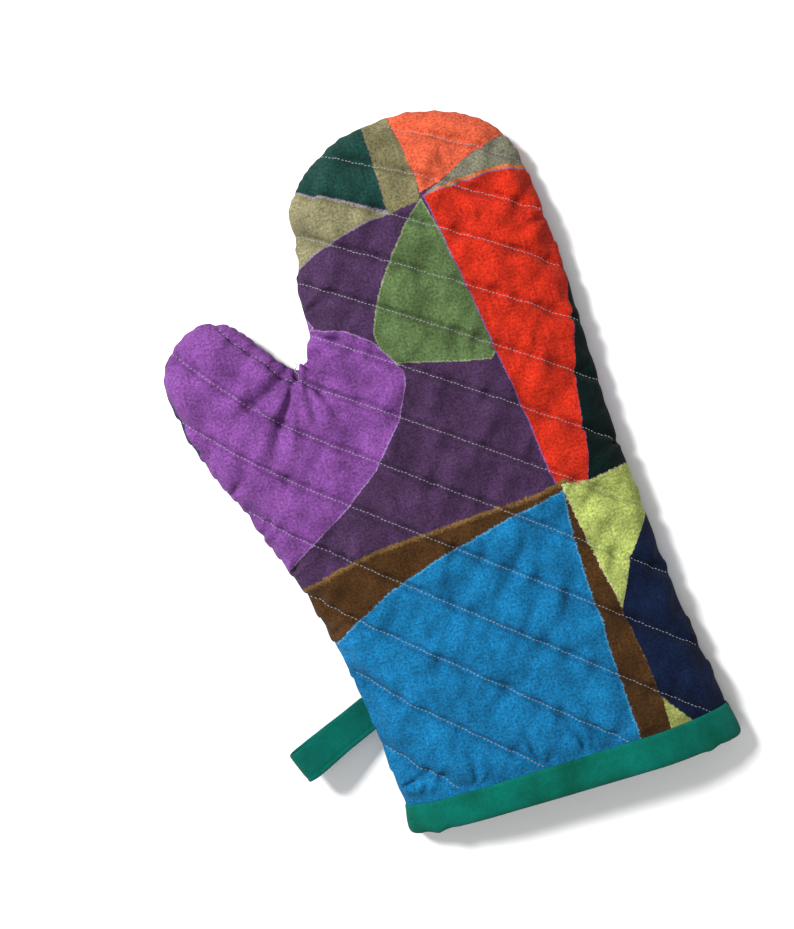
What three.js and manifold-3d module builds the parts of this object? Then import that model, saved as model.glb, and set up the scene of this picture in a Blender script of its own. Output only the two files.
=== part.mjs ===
// A quilted oven mitt lying flat on its back: fingers along +Y, thumb towards -X, palm up (+Z).
// Front and back are each an outer cotton, a batting and a lining, sewn together round the edge.
// Each layer is cut where the fingers and the thumb fold, so that they can turn on their joints.
import * as THREE from "three";
import { mergeVertices } from "three/addons/utils/BufferGeometryUtils.js";
import Module from "manifold-3d";

const wasm = await Module();
wasm.setup();

// Driving dimensions, in millimetres, with the origin at the middle of the cuff's opening.
const GAP = 0.3; // clearance between touching pieces
const SEAM_Z = 9.5; // height of the edge seam above the table
const OUTER = 0.8; // outer cotton
const BATTING = 3.4;
const LINING = 0.7;
const TAPE = 1.0; // binding tape
const BINDING_DEPTH = 14;
const MOUTH_RUN = 10; // how far the shape runs on past the mouth, to be cut off
const WALL = OUTER + BATTING + LINING + 2 * GAP;
const PINCH = TAPE + GAP; // how far the binding squeezes the panels

const HAND_HEIGHT = 28;
const TIP_CENTRE = new THREE.Vector2(2.2, 280);
const TIP_RADII = new THREE.Vector2(58.5, 48.7);
const TIP_POWER = 2.2;
const HAND_LEFT = [[0, -80.5], [48, -85], [96, -88.5], [150, -79], [200, -69], [240, -63], [280, -56.3]];
const HAND_RIGHT = [[0, 80.5], [48, 75.4], [96, 69.8], [150, 66], [200, 64.8], [240, 63.8], [280, 60.7]];

const THUMB_TIP = new THREE.Vector2(-110.5, 234); // centre of the round tip
const THUMB_LEAN = THREE.MathUtils.degToRad(20);
const THUMB_RADIUS = 23.5;
const THUMB_HEIGHT = 25;
// Distance back from the round tip's centre, half-width and height, from the root inside the hand.
const THUMB_STATIONS = [
  [136, 21, 18],
  [104, 27, 24],
  [75, 28.5, THUMB_HEIGHT],
  [35, 26, THUMB_HEIGHT],
  [0, THUMB_RADIUS, THUMB_HEIGHT],
];

const SECTION_POWER = 2.6; // roundness of a cross-section, sideways
const SECTION_POINTS = 24;
const FINGER_FOLD_Y = 235;
const THUMB_FOLD_POINT = new THREE.Vector2(-70.5, 226);
const THUMB_FOLD_LEAN = Math.atan2(0.18, 1);
const FAR = 400; // reach of the cutting blocks in plan
const HIGH = 60; // and above or below the table
const BASE_FULLNESS = 1.15; // how much the lower side is squashed flat on the table
const TIP_END = 0.985; // share of a quarter turn that the round tips are drawn to
const HAND_RING_FIRST = 45; // rings of the hand above the binding
const HAND_RING_PITCH = 39;

const LOOP_ROOT = new THREE.Vector2(-81, 60.5); // inside the seam, before the tape is cut to it
const LOOP_LENGTH = 46;
const LOOP_TAB = 9; // stretch where the tape's two ends lie together
const LOOP_WIDTH = 16;
const LOOP_THICKNESS = 1.2;
const LOOP_CLEAR = 2; // room at the seam for the loop to swing
const LOOP_BELLY = 6.4; // half-height of the open loop
const LOOP_TURN = THREE.MathUtils.degToRad(21.6); // below -X, in plan
const LOOP_RISE = THREE.MathUtils.degToRad(8);

// Quilting rows, counted up from the one that crosses the cuff's middle lowest down in full.
const ROW_ZERO_Y = 38.4;
const ROW_PITCH = 34.3;
const ROW_CLOSING = 0.58; // rows lie closer and closer together towards the fingertips
const ROW_SLOPE = -0.84;
const ROW_SLOPE_EASING = 0.028; // each row is less steep than the last
const ROW_FIRST = -2;
const ROW_LAST = 10;
const ROW_SHORTEST = 15;
const ROW_POINT_PITCH = 10;
const MERGE = 1e-3; // vertices closer than this are one
const THREAD_WIDTH = 0.9;
const THREAD_HEIGHT = 0.6;
const THREAD_LIFT = 0.6;
const THREAD_CLEAR = 1.5; // how far a row keeps above the crease beside the thumb
const THREAD_INSET = 15; // how far a row stops from the panel's edge
const THREAD_FROM_FOLD = 2; // and from the two folds
const THREAD_FROM_BINDING = 4;

const PRINT_RED = 0xc2352a;
const PRINT_SLATE = 0x2a3b4a;
const BATTING_WHITE = 0xe8e4da;
const LINING_GREY = 0x8d9290;
const BINDING_GREEN = 0x057a63;
const LOOP_GREEN = 0x006b56;
const THREAD_GREY = 0xb9b8b4;

function fabric(color, roughness = 0.9) {
  return new THREE.MeshStandardMaterial({ color, roughness, metalness: 0, side: THREE.FrontSide });
}

// ---- solids and cuts ----

function toSolid(geometry) {
  const plain = geometry.clone();
  plain.deleteAttribute("normal");
  plain.deleteAttribute("uv");
  const merged = mergeVertices(plain, MERGE);
  const vertProperties = new Float32Array(merged.attributes.position.array);
  const triVerts = new Uint32Array(merged.index.array);
  return new wasm.Manifold(new wasm.Mesh({ numProp: 3, vertProperties, triVerts }));
}

function meshOf(solid) {
  const mesh = solid.getMesh();
  const geometry = new THREE.BufferGeometry();
  geometry.setAttribute("position", new THREE.BufferAttribute(mesh.vertProperties, 3));
  geometry.setIndex(new THREE.BufferAttribute(mesh.triVerts, 1));
  return geometry;
}

// The solid's main body as a mesh, without the empty slivers that a cut leaves.
function toGeometry(solid) {
  const bodies = toSolid(meshOf(solid)).decompose();
  bodies.sort((a, b) => b.volume() - a.volume());
  const geometry = meshOf(bodies[0]);
  geometry.computeVertexNormals();
  return geometry;
}

// A block from one corner to the other, turned in plan about a point if asked.
function block(low, high, turn = 0, about = new THREE.Vector2()) {
  const box = new THREE.BoxGeometry(high[0] - low[0], high[1] - low[1], high[2] - low[2]);
  box.translate((low[0] + high[0]) / 2, (low[1] + high[1]) / 2, (low[2] + high[2]) / 2);
  box.rotateZ(turn);
  box.translate(about.x, about.y, 0);
  return toSolid(box);
}

// Closed surface through a list of rings with the same number of points, ends closed by fans.
function loft(rings) {
  const count = rings[0].length;
  const points = rings.flat();
  const index = [];
  for (let r = 0; r + 1 < rings.length; r++) {
    for (let i = 0; i < count; i++) {
      const a = r * count + i;
      const b = r * count + ((i + 1) % count);
      index.push(a, b, b + count, a, b + count, a + count);
    }
  }
  for (const [ring, flip] of [[0, true], [rings.length - 1, false]]) {
    const centre = points.length;
    const middle = new THREE.Vector3();
    rings[ring].forEach((p) => middle.addScaledVector(p, 1 / count));
    points.push(middle);
    for (let i = 0; i < count; i++) {
      const a = ring * count + i;
      const b = ring * count + ((i + 1) % count);
      index.push(...(flip ? [centre, b, a] : [centre, a, b]));
    }
  }
  const geometry = new THREE.BufferGeometry().setFromPoints(points);
  geometry.setIndex(index);
  return toSolid(geometry);
}

// ---- the mitt's shape, inset by a depth for each layer ----

function along(table, y) {
  const curve = new THREE.SplineCurve(table.map(([py, px]) => new THREE.Vector2(px, py)));
  let low = 0;
  let high = 1;
  for (let i = 0; i < 30; i++) {
    const middle = (low + high) / 2;
    if (curve.getPoint(middle).y < y) low = middle;
    else high = middle;
  }
  return curve.getPoint(low).x;
}

// Centre, half-width and height of the hand at a place along it.
function handAt(y) {
  if (y <= TIP_CENTRE.y) {
    const left = along(HAND_LEFT, Math.max(y, 0));
    const right = along(HAND_RIGHT, Math.max(y, 0));
    return { x: (left + right) / 2, half: (right - left) / 2, height: HAND_HEIGHT };
  }
  return { x: TIP_CENTRE.x, half: TIP_RADII.x, height: HAND_HEIGHT };
}

// Cross-section through a closed cushion shape: flat below, domed above.
function section(half, height, depth, fall) {
  const ring = [];
  const side = Math.max(half - depth, 0.2) * fall;
  for (let i = 0; i < SECTION_POINTS; i++) {
    const angle = (-2 * Math.PI * i) / SECTION_POINTS;
    const across = Math.sign(Math.cos(angle)) * Math.abs(Math.cos(angle)) ** (2 / SECTION_POWER);
    const up = Math.sign(Math.sin(angle)) * Math.abs(Math.sin(angle)) ** (2 / SECTION_POWER);
    const reach = up > 0 ? height - depth - SEAM_Z : (SEAM_Z - depth) * BASE_FULLNESS;
    ring.push([across * side, Math.max(SEAM_Z + up * reach * fall, depth)]);
  }
  return ring;
}

function handSolid(depth) {
  const rings = [];
  const addRing = (y, inset, fall) => {
    const at = handAt(y);
    const ring = section(at.half, at.height, inset, fall);
    rings.push(ring.map(([x, z]) => new THREE.Vector3(at.x + x, y, z)));
  };
  const pinched = depth + PINCH;
  for (const y of [-MOUTH_RUN, 0, BINDING_DEPTH - 0.5]) addRing(y, pinched, 1);
  addRing(BINDING_DEPTH + 1.5, depth, 1);
  for (let y = HAND_RING_FIRST; y < TIP_CENTRE.y; y += HAND_RING_PITCH) addRing(y, depth, 1);
  const reach = TIP_RADII.y - depth;
  for (let step = 0; step <= 6; step++) {
    const turn = (step / 6) * TIP_END * (Math.PI / 2);
    const fall = Math.cos(turn) ** (2 / TIP_POWER);
    addRing(TIP_CENTRE.y + reach * Math.sin(turn) ** (2 / TIP_POWER), depth, fall);
  }
  return loft(rings);
}

function thumbSolid(depth) {
  const rings = [];
  const addRing = (distance, half, height, fall) => {
    const ring = section(half, height, depth, fall);
    rings.push(ring.map(([x, z]) => new THREE.Vector3(x, distance, z)));
  };
  for (const [back, half, height] of THUMB_STATIONS) addRing(depth - back, half, height, 1);
  for (let step = 1; step <= 5; step++) {
    const turn = (step / 5) * TIP_END * (Math.PI / 2);
    const out = depth + (THUMB_RADIUS - 2 * depth) * Math.sin(turn);
    addRing(out, THUMB_RADIUS, THUMB_HEIGHT, Math.cos(turn));
  }
  const lean = new THREE.Matrix4().makeRotationZ(THUMB_LEAN);
  lean.setPosition(THUMB_TIP.x, THUMB_TIP.y, 0);
  rings.flat().forEach((p) => p.applyMatrix4(lean));
  return loft(rings);
}

function mittSolid(depth) {
  return handSolid(depth).add(thumbSolid(depth));
}

// A layer's thickness between two depths, open at the cuff.
function layer(from, to) {
  return mittSolid(from).subtract(mittSolid(to)).intersect(block([-FAR, 0, -1], [FAR, FAR, HIGH]));
}

// ---- cuts between front and back, and at the folds ----

const HALVES = {
  front: block([-FAR, -FAR, SEAM_Z + GAP / 2], [FAR, FAR, HIGH]),
  back: block([-FAR, -FAR, -HIGH], [FAR, FAR, SEAM_Z - GAP / 2]),
};
const THUMB_SIDE = block([-FAR, -FAR, -HIGH], [-GAP / 2, FAR, HIGH], -THUMB_FOLD_LEAN, THUMB_FOLD_POINT);
const HAND_SIDE = block([GAP / 2, -FAR, -HIGH], [FAR, FAR, HIGH], -THUMB_FOLD_LEAN, THUMB_FOLD_POINT);
const BELOW_FOLD = block([-FAR, -FAR, -HIGH], [FAR, FINGER_FOLD_Y - GAP / 2, HIGH]);
const ABOVE_FOLD = block([-FAR, FINGER_FOLD_Y + GAP / 2, -HIGH], [FAR, FAR, HIGH]);
const REGIONS = {
  hand: HAND_SIDE.intersect(BELOW_FOLD),
  fingers: HAND_SIDE.intersect(ABOVE_FOLD),
  thumb: THUMB_SIDE,
};

const mitt = new THREE.Group();

function addPiece(name, geometry, material) {
  const mesh = new THREE.Mesh(geometry, material);
  mesh.name = name;
  mitt.add(mesh);
}

function addPanels() {
  const layers = [
    ["shell", 0, OUTER, { front: PRINT_RED, back: PRINT_SLATE }],
    ["batting", OUTER + GAP, OUTER + GAP + BATTING, { front: BATTING_WHITE, back: BATTING_WHITE }],
    ["lining", WALL - LINING, WALL, { front: LINING_GREY, back: LINING_GREY }],
  ];
  for (const [kind, from, to, colors] of layers) {
    const whole = layer(from, to);
    for (const [side, half] of Object.entries(HALVES)) {
      for (const [region, cut] of Object.entries(REGIONS)) {
        const solid = whole.intersect(half).intersect(cut);
        addPiece(`${side}_${kind}_${region}`, toGeometry(solid), fabric(colors[side]));
      }
    }
  }
}

// Tape folded over the raw edge of the mouth, outside and in.
function addBinding() {
  const outside = block([-FAR, -PINCH, -1], [FAR, BINDING_DEPTH - 1, HIGH]);
  const folded = mittSolid(-PINCH).subtract(mittSolid(WALL + PINCH));
  const panels = mittSolid(-GAP).subtract(mittSolid(WALL + GAP));
  const room = panels.intersect(block([-FAR, -GAP, -1], [FAR, FAR, HIGH]));
  const tape = folded.intersect(outside).subtract(room);
  addPiece("cuff_binding", toGeometry(tape), fabric(BINDING_GREEN, 0.85));
}

// Tape doubled into an open loop: its two ends lie together at the side seam, then part.
function addLoop() {
  const middleX = LOOP_TAB + (LOOP_LENGTH - LOOP_TAB) / 2;
  const bellyX = LOOP_LENGTH - LOOP_BELLY;
  const outline = new THREE.Shape();
  outline.moveTo(0, -LOOP_THICKNESS);
  outline.lineTo(LOOP_TAB, -LOOP_THICKNESS);
  outline.bezierCurveTo(middleX, -LOOP_THICKNESS, middleX, -LOOP_BELLY, bellyX, -LOOP_BELLY);
  outline.absarc(bellyX, 0, LOOP_BELLY, -Math.PI / 2, Math.PI / 2, false);
  outline.bezierCurveTo(middleX, LOOP_BELLY, middleX, LOOP_THICKNESS, LOOP_TAB, LOOP_THICKNESS);
  outline.lineTo(0, LOOP_THICKNESS);
  const inner = LOOP_BELLY - LOOP_THICKNESS;
  const hole = new THREE.Path();
  hole.moveTo(LOOP_TAB + LOOP_THICKNESS, 0);
  hole.bezierCurveTo(middleX, -GAP, middleX, -inner, bellyX, -inner);
  hole.absarc(bellyX, 0, inner, -Math.PI / 2, Math.PI / 2, false);
  hole.bezierCurveTo(middleX, inner, middleX, GAP, LOOP_TAB + LOOP_THICKNESS, 0);
  outline.holes.push(hole);
  const geometry = new THREE.ExtrudeGeometry(outline, {
    depth: LOOP_WIDTH,
    bevelEnabled: false,
    curveSegments: 10,
  });
  geometry.translate(0, 0, -LOOP_WIDTH / 2);
  geometry.rotateX(Math.PI / 2);
  geometry.rotateY(-LOOP_RISE);
  geometry.rotateZ(Math.PI + LOOP_TURN);
  geometry.translate(LOOP_ROOT.x, LOOP_ROOT.y, SEAM_Z);
  const loop = toSolid(geometry).subtract(mittSolid(-LOOP_CLEAR));
  addPiece("hanging_loop", toGeometry(loop), fabric(LOOP_GREEN, 0.85));
}

// ---- quilting rows ----

// Height of a domed surface above the seam, for a place across its half-width.
function dome(place, half, height) {
  const share = Math.min(Math.abs(place) / half, 1) ** SECTION_POWER;
  return SEAM_Z + (height - SEAM_Z) * (1 - share) ** (1 / SECTION_POWER);
}

function handTop(x, y) {
  const at = handAt(y);
  const past = Math.max(y - TIP_CENTRE.y, 0) / TIP_RADII.y;
  const fall = past < 1 ? (1 - past ** TIP_POWER) ** (1 / TIP_POWER) : 0;
  if (fall === 0 || Math.abs(x - at.x) >= at.half * fall) return null;
  return SEAM_Z + (dome(x - at.x, at.half * fall, at.height) - SEAM_Z) * fall;
}

// Half-width and height of the thumb at a distance back from its tip's centre.
function thumbAt(back) {
  const next = THUMB_STATIONS.findIndex(([place]) => place <= back);
  if (next < 1) return { half: 0, height: 0 };
  const [far, near] = [THUMB_STATIONS[next - 1], THUMB_STATIONS[next]];
  const value = (k) => THREE.MathUtils.mapLinear(back, far[0], near[0], far[k], near[k]);
  return { half: value(1), height: value(2) };
}

function thumbTop(x, y) {
  const local = new THREE.Vector2(x, y).rotateAround(THUMB_TIP, -THUMB_LEAN).sub(THUMB_TIP);
  const { half, height } = thumbAt(Math.max(-local.y, 0));
  const fall = local.y > 0 ? Math.sqrt(Math.max(1 - (local.y / THUMB_RADIUS) ** 2, 0)) : 1;
  if (Math.abs(local.x) >= half * fall) return null;
  return SEAM_Z + (dome(local.x, half * fall, height) - SEAM_Z) * fall;
}

// Distance past the thumb's fold line, positive on the hand's side.
function pastThumbFold(x, y) {
  const from = new THREE.Vector2(x, y).sub(THUMB_FOLD_POINT);
  return from.rotateAround(new THREE.Vector2(), THUMB_FOLD_LEAN).x;
}

function regionAt(x, y) {
  if (pastThumbFold(x, y) < 0) return "thumb";
  return y > FINGER_FOLD_Y ? "fingers" : "hand";
}

function threadAlong(points) {
  const rings = points.map((p) => {
    const section = [[-1, 0], [1, 0], [0.6, 1], [-0.6, 1]];
    return section.map(([v, w]) => {
      return new THREE.Vector3(p.x, p.y + (v * THREAD_WIDTH) / 2, p.z + THREAD_LIFT + w * THREAD_HEIGHT);
    });
  });
  return toGeometry(loft(rings));
}

function rowAt(row, x) {
  return ROW_ZERO_Y + ROW_PITCH * row - ROW_CLOSING * row ** 2 + (ROW_SLOPE + ROW_SLOPE_EASING * row) * x;
}

// Whether a row's thread can lie here: inside the panel, off the folds and the thumb's crease.
function threadFits(x, y) {
  if (y < BINDING_DEPTH + THREAD_FROM_BINDING) return false;
  const fold = Math.min(Math.abs(pastThumbFold(x, y)), Math.abs(y - FINGER_FOLD_Y));
  if (fold <= THREAD_FROM_FOLD) return false;
  const [own, other] = regionAt(x, y) === "thumb" ? [thumbTop, handTop] : [handTop, thumbTop];
  const round = [[-1, 0], [1, 0], [0, -1], [0, 1]];
  const inside = round.every(([i, j]) => own(x + i * THREAD_INSET, y + j * THREAD_INSET) !== null);
  return inside && own(x, y) > (other(x, y) ?? 0) + THREAD_CLEAR;
}

// The row's thread from one place across the mitt to another, laid over one region's dome.
function rowThread(row, region, from, to) {
  const steps = Math.max(Math.round((to - from) / ROW_POINT_PITCH), 2);
  const points = [];
  for (let i = 0; i <= steps; i++) {
    const x = THREE.MathUtils.lerp(from, to, i / steps);
    const y = rowAt(row, x);
    const top = region === "thumb" ? thumbTop(x, y) : handTop(x, y);
    points.push(new THREE.Vector3(x, y, top));
  }
  return threadAlong(points);
}

function addQuilting() {
  for (let row = ROW_FIRST; row <= ROW_LAST; row++) {
    const inside = { hand: [], fingers: [], thumb: [] };
    for (let x = Math.ceil(bounds.min.x); x <= bounds.max.x; x++) {
      const y = rowAt(row, x);
      if (threadFits(x, y)) inside[regionAt(x, y)].push(x);
    }
    for (const [region, places] of Object.entries(inside)) {
      if (places.length < ROW_SHORTEST) continue;
      const thread = rowThread(row, region, places[0], places[places.length - 1]);
      addPiece(`quilting_row_${row - ROW_FIRST + 1}_${region}`, thread, fabric(THREAD_GREY, 0.6));
    }
  }
}

addPanels();
const bounds = new THREE.Box3().setFromObject(mitt);
addBinding();
addLoop();
addQuilting();

// The origin goes to the middle of the base of the object's box.
const box = new THREE.Box3().setFromObject(mitt);
const middle = box.getCenter(new THREE.Vector3());
mitt.position.set(-middle.x, -middle.y, -box.min.z);
mitt.updateMatrixWorld(true);

export default mitt;
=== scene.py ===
import math

import bpy
import numpy as np
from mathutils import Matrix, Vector, noise


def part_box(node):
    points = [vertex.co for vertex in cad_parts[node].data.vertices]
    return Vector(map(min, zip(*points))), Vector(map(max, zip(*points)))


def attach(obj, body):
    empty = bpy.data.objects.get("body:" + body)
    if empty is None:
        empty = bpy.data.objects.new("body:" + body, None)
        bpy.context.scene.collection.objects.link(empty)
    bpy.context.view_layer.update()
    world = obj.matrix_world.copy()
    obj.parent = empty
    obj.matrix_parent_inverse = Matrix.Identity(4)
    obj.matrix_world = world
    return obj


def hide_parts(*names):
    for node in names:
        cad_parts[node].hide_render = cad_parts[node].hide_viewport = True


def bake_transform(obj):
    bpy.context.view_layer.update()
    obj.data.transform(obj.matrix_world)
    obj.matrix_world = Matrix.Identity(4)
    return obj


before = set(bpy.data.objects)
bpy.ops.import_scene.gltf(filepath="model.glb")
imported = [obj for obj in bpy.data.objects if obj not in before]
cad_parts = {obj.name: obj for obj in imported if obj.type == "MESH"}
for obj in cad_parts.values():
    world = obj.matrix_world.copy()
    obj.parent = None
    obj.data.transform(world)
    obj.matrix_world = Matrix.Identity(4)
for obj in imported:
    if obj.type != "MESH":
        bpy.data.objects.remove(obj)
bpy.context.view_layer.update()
MM = 0.001

# ---- The quilted blank ----
# Front and back panels are cut to one outline from ready-quilted cloth and sewn right round,
# leaving the cuff open. Both are shaped here as one skin, which is parted into panels later.
# Plan places are in millimetres from the middle of the cuff, +Y to the fingertips.
CUFF_HALF_WIDTH = 80.5
BINDING_OVERHANG = 1.3  # how far the binding reaches beyond the panels' raw edge
CUFF_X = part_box("cuff_binding")[1][0] - CUFF_HALF_WIDTH * MM
CUFF_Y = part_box("cuff_binding")[0][1] + BINDING_OVERHANG * MM
SEAM_HEIGHT = 9.5
MITT_OUTLINE = [
    (80.5, -30), (80.5, 0), (78.8, 24), (75.4, 48), (72, 72), (69.8, 96), (68, 120), (65.6, 150),
    (65, 186), (64.4, 215), (64.2, 245), (62.2, 264), (60.8, 284), (56.8, 300), (49, 312),
    (36.8, 321), (19, 327), (2, 328.7), (-18.5, 326), (-33.7, 319.5), (-48, 308.5), (-54.8, 297),
    (-56.4, 284), (-57.6, 273), (-61.4, 264), (-62.2, 246), (-63.6, 236), (-66.2, 229),
    (-70.8, 225.6), (-76, 227.6), (-84, 238), (-92.6, 250), (-99.5, 256), (-110, 258.4),
    (-121, 254.5), (-131, 245), (-135.2, 232), (-133.4, 216), (-129, 200), (-123, 184),
    (-115.4, 167), (-109, 150), (-102, 132), (-96, 112), (-91.4, 92), (-88, 72), (-85.4, 50),
    (-82, 24), (-80.5, 0), (-80.5, -30),
]  # fmt: skip


def rounded(points, steps=5):
    """A closed outline through the points, rounded between them."""
    p = np.array(points, float)
    before, after, beyond = np.roll(p, 1, 0), np.roll(p, -1, 0), np.roll(p, -2, 0)
    t = (np.arange(steps) / steps)[None, :, None]
    a, b, c, d = before[:, None], p[:, None], after[:, None], beyond[:, None]
    curve = 0.5 * (2 * b + (c - a) * t + (2 * a - 5 * b + 4 * c - d) * t**2
                   + (3 * b - a - 3 * c + d) * t**3)  # fmt: skip
    return curve.reshape(-1, 2)


def distance_inside(places, outline):
    """How far each plan place is inside a closed outline, and the outline's nearest point."""
    a = np.asarray(outline, float)
    b = np.roll(a, -1, 0)
    best = np.full(len(places), 1e9)
    nearest = np.zeros((len(places), 2))
    inside = np.zeros(len(places), bool)
    for p, q in zip(a, b):
        edge = q - p
        t = np.clip((places - p) @ edge / (edge @ edge + 1e-12), 0, 1)
        foot = p + t[:, None] * edge
        gap = np.linalg.norm(places - foot, axis=1)
        closer = gap < best
        best[closer] = gap[closer]
        nearest[closer] = foot[closer]
        crosses = (p[1] > places[:, 1]) != (q[1] > places[:, 1])
        if p[1] != q[1]:
            x = p[0] + (places[:, 1] - p[1]) * edge[0] / edge[1]
            inside ^= crosses & (places[:, 0] < x)
    return np.where(inside, best, -best), nearest


SEAM_ROLL = 0.9  # how far the padded cloth rolls out over the seam


def rolled_out(points, distance):
    """The outline moved outwards by a distance."""
    along = np.roll(points, -1, 0) - np.roll(points, 1, 0)
    out = np.column_stack([along[:, 1], -along[:, 0]])
    return points + distance * out / np.linalg.norm(out, axis=1)[:, None]


outline = rolled_out(rounded(MITT_OUTLINE), SEAM_ROLL)
ROW_COUNT = 13


def row_slope(row):
    return -0.896 + 0.028 * row


def thumb_bend(row):
    """How quickly a row turns up on the thumb, the more so the nearer it is to the thumb's tip."""
    return 0.002 * math.exp(min(row - 4, 2))


def row_height(row, x):
    """Plan height of a quilting row at x; rows close up and ease towards the fingertips."""
    straight = -32.5 + 36.6 * row - 0.58 * row**2 + row_slope(row) * x
    return straight + thumb_bend(row) * np.maximum(0, -70 - x) ** 2


def from_rows(places):
    """Distance to the nearest quilting row, and the share of the way between two rows."""
    heights = np.array([row_height(k, places[:, 0]) for k in range(ROW_COUNT)])
    heights = np.vstack([heights[:1] - 36, heights, heights[-1:] + 26])
    above = np.clip((heights < places[:, 1]).sum(0), 1, len(heights) - 1)
    columns = np.arange(len(places))
    low, high = heights[above - 1, columns], heights[above, columns]
    share = np.clip((places[:, 1] - low) / (high - low), 0, 1)
    nearest = np.minimum(abs(places[:, 1] - low), abs(high - places[:, 1])) * 0.78
    return nearest, share


def dome(distance, reach, power):
    """Rise from 0 at the edge to 1 at the reach, round at the edge."""
    t = np.clip(distance / reach, 0, 1)
    return (1 - (1 - t) ** power) ** (1 / power)


def palm_crown(places, depth, sunk=0.0):
    """Height of the palm over the seam: one broad swell on the hand, a tighter one on the thumb."""
    x, y = places[:, 0], places[:, 1]
    cuff = np.exp(-((y / 55) ** 2)) * (1 + 2.2 * np.exp(-(((x - 25) / 45) ** 2)))
    thumb = np.clip((-45 - 0.18 * (226 - y) - x) / 35, 0, 1)
    thumb = np.where(y > 90, thumb**2 * (3 - 2 * thumb), 0)
    return (16.5 - sunk + cuff - 2 * thumb) * dome(depth, 62 - 37 * thumb, 2.1)


def flat_blank(step, inset=0.0):
    """Cells of cloth that fill the outline, with the border cells drawn out to meet it."""
    xs, ys = np.arange(-142, 88, step), np.arange(0, 334, step)
    grid = np.array([(x, y) for y in ys for x in xs])
    depth, _ = distance_inside(grid, outline)
    kept = (depth - inset > -0.4 * step).reshape(len(ys), len(xs))
    cells = []
    for j in range(len(ys) - 1):
        for i in range(len(xs) - 1):
            if kept[j, i] and kept[j, i + 1] and kept[j + 1, i] and kept[j + 1, i + 1]:
                a = j * len(xs) + i
                cells.append((a, a + 1, a + 1 + len(xs), a + len(xs)))
    cells = np.array(cells)
    edges = {}
    for cell in cells:
        for k in range(4):
            edge = tuple(sorted((cell[k], cell[(k + 1) % 4])))
            edges[edge] = edges.get(edge, 0) + 1
    border = {v for edge, uses in edges.items() if uses == 1 for v in edge}
    mouth_edges = {e for e, uses in edges.items() if uses == 1 and grid[e[0], 1] == grid[e[1], 1] == 0}
    mouth = {v for e in mouth_edges for v in e}
    used = np.unique(cells)
    renumber = {v: k for k, v in enumerate(used)}
    places = grid[used].copy()
    at_border = np.array([v in border for v in used])
    at_mouth = np.array([v in mouth for v in used])
    depth, nearest = distance_inside(places, outline)
    inward = places - nearest
    inward *= np.sign(depth)[:, None] / np.maximum(np.linalg.norm(inward, axis=1), 1e-6)[:, None]
    ends = at_mouth & (depth - inset < 1.45 * step)
    snap = at_border & (~at_mouth | ends)
    target = nearest + inset * inward
    target[at_mouth, 1] = 0
    places[snap] = target[snap]
    cells = np.array([[renumber[v] for v in cell] for cell in cells])
    fixed = at_mouth | (places[:, 1] == 0)
    rim = np.array([(renumber[a], renumber[b]) for (a, b), uses in edges.items() if uses == 1])
    return evened(places, cells, rim, snap, fixed, inset), cells, snap


def evened(places, cells, rim, border, fixed, inset):
    """Evens out the cells, with the border kept on the outline and the mouth kept straight."""
    rim = rim[border[rim].all(1)]
    pairs = np.vstack([cells[:, [0, 1]], cells[:, [1, 2]], cells[:, [2, 3]], cells[:, [3, 0]]])
    for links, moving in ((rim, border & ~fixed), (pairs, ~border & ~fixed)) * 10:
        total, count = np.zeros_like(places), np.zeros(len(places))
        for a, b in ((0, 1), (1, 0)):
            np.add.at(total, links[:, a], places[links[:, b]])
            np.add.at(count, links[:, a], 1)
        moving = moving & (count > 1)
        places[moving] += 0.7 * (total[moving] / count[moving, None] - places[moving])
        onto = np.nonzero(border & ~fixed)[0]
        depth, nearest = distance_inside(places[onto], outline)
        inward = places[onto] - nearest
        inward *= np.sign(depth)[:, None] / np.maximum(np.linalg.norm(inward, axis=1), 1e-6)[:, None]
        places[onto] = nearest + inset * inward
    return places


def cloth_shell(name, step, inset, top_height, bottom_height):
    """A closed skin over and under the blank, open at the mouth, with its plan kept as a map."""
    places, cells, shared = flat_blank(step, inset)
    depth = np.maximum(distance_inside(places, outline)[0] - inset, 0)
    depth[shared] = 0
    top = np.column_stack([places, top_height(places, depth)])
    bottom = np.column_stack([places, bottom_height(places, depth)])
    under = np.where(shared, np.arange(len(places)), 0)
    under[~shared] = len(places) + np.arange((~shared).sum())
    points = np.vstack([top, bottom[~shared]])
    plan = points[:, :2].copy()
    faces = [tuple(c) for c in cells] + [tuple(under[c][::-1]) for c in cells]
    mesh = bpy.data.meshes.new(name)
    mesh.from_pydata(points * MM + np.array([CUFF_X, CUFF_Y, 0]), [], faces)
    mesh.polygons.foreach_set("material_index", [0] * len(cells) + [1] * len(cells))
    plan_map = mesh.uv_layers.new(name="plan")
    corners = np.zeros(len(mesh.loops), int)
    mesh.loops.foreach_get("vertex_index", corners)
    plan_map.data.foreach_set("uv", (plan[corners] * MM).ravel())
    mesh.validate()
    piece = bpy.data.objects.new(name, mesh)
    bpy.context.scene.collection.objects.link(piece)
    return piece


def take(piece):
    """Makes a piece the only one selected, and the active one."""
    bpy.ops.object.select_all(action="DESELECT")
    piece.select_set(True)
    bpy.context.view_layer.objects.active = piece


def vertex_places(mesh):
    points = np.zeros(len(mesh.vertices) * 3)
    mesh.vertices.foreach_get("co", points)
    return points.reshape(-1, 3)


def plan_of(mesh):
    """Each vertex's plan place, in millimetres, read back from the map."""
    corners = np.zeros(len(mesh.loops), int)
    mesh.loops.foreach_get("vertex_index", corners)
    uv = np.zeros(len(mesh.loops) * 2)
    mesh.uv_layers["plan"].data.foreach_get("uv", uv)
    plan = np.zeros((len(mesh.vertices), 2))
    plan[corners] = uv.reshape(-1, 2) / MM
    return plan


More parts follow.
